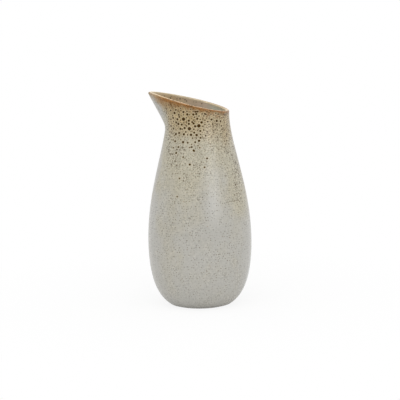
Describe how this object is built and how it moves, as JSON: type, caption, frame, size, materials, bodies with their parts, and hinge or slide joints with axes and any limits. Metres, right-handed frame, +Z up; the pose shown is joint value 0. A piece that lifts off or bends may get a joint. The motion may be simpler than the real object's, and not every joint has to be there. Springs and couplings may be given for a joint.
{
  "type": "water carafe",
  "caption": "Pear-shaped glazed stoneware water carafe with an open neck, a slanted rounded lip drawn out into a beak spout, and a bare foot ring; holds and pours water.",
  "frame": {"origin": "on the axis of the pot, in the plane on which the foot ring stands", "axes": "+Z up along the axis of the pot; -X towards the tip of the spout; the XZ plane is the mirror plane"},
  "size_m": [0.1116, 0.1116, 0.231],
  "materials": {
    "stoneware_clay": "bare fired stoneware, matt and slightly gritty",
    "outer_glaze": "satin reactive glaze, pale grey below and olive beige with dark iron spots above",
    "liner_glaze": "satin grey-beige liner glaze with fine iron specks",
    "rim_glaze": "rust-brown iron-rich glaze, thin and pale on the crest",
    "base_glaze": "thin satin grey glaze"
  },
  "bodies": {
    "root": {"clay_body": "stoneware_clay", "outer_glaze": "outer_glaze", "liner_glaze": "liner_glaze", "rim_glaze": "rim_glaze", "base_glaze": "base_glaze"}
  },
  "joints": []
}
